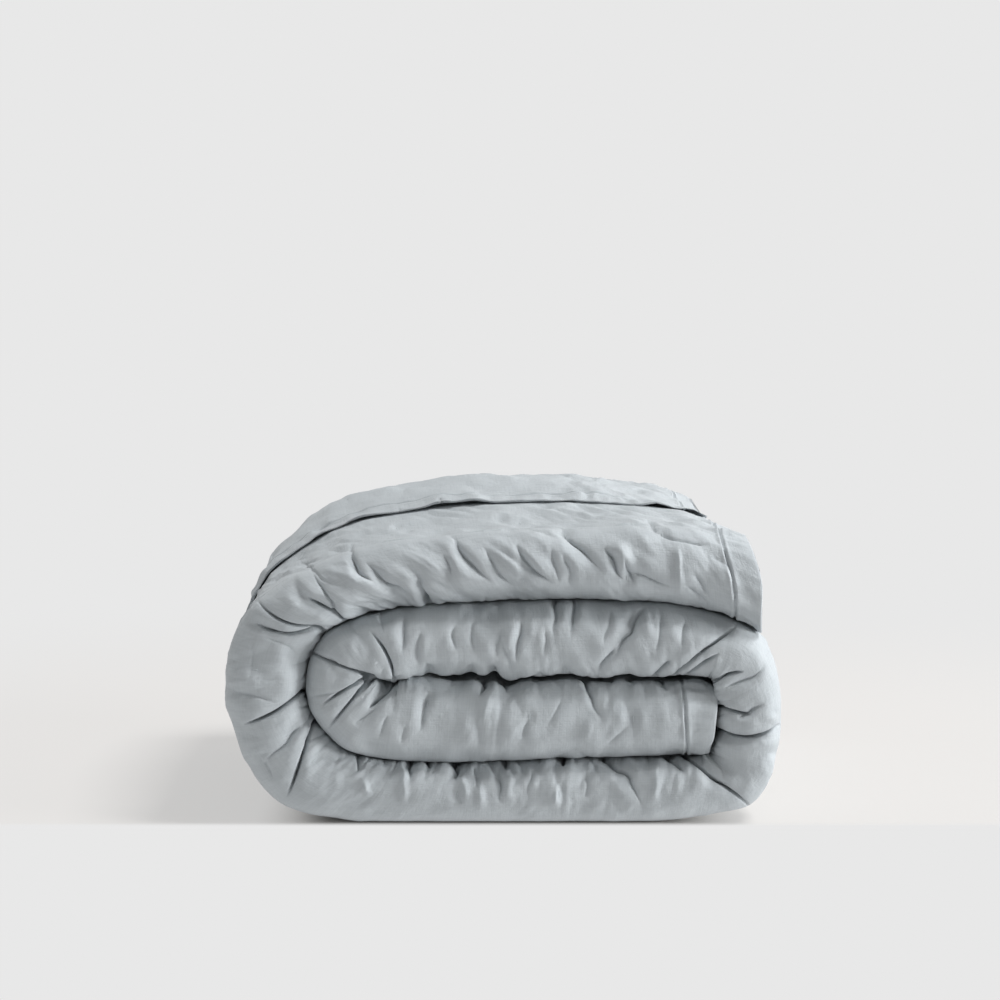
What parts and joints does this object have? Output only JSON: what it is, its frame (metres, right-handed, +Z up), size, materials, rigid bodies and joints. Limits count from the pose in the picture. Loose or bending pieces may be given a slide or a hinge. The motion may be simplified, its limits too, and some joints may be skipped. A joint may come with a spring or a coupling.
{
  "type": "linen quilt",
  "caption": "Plain filled linen quilt, folded in plies to a strip and wound up flat, with a rounded front fold, tack stitches and a flat stitched hem.",
  "frame": {"origin": "on the surface that the quilt rests on, under the middle of its box", "axes": "+Z up; -Y towards the rounded front fold of the strip; +X along the winding's long side, towards the strip's outer hem"},
  "size_m": [0.5762, 0.4746, 0.3324],
  "materials": {
    "linen": "washed blue-grey linen, matt, with a fine uneven plain weave and thread of the same colour"
  },
  "bodies": {
    "root": {"quilt": "linen"}
  },
  "joints": []
}
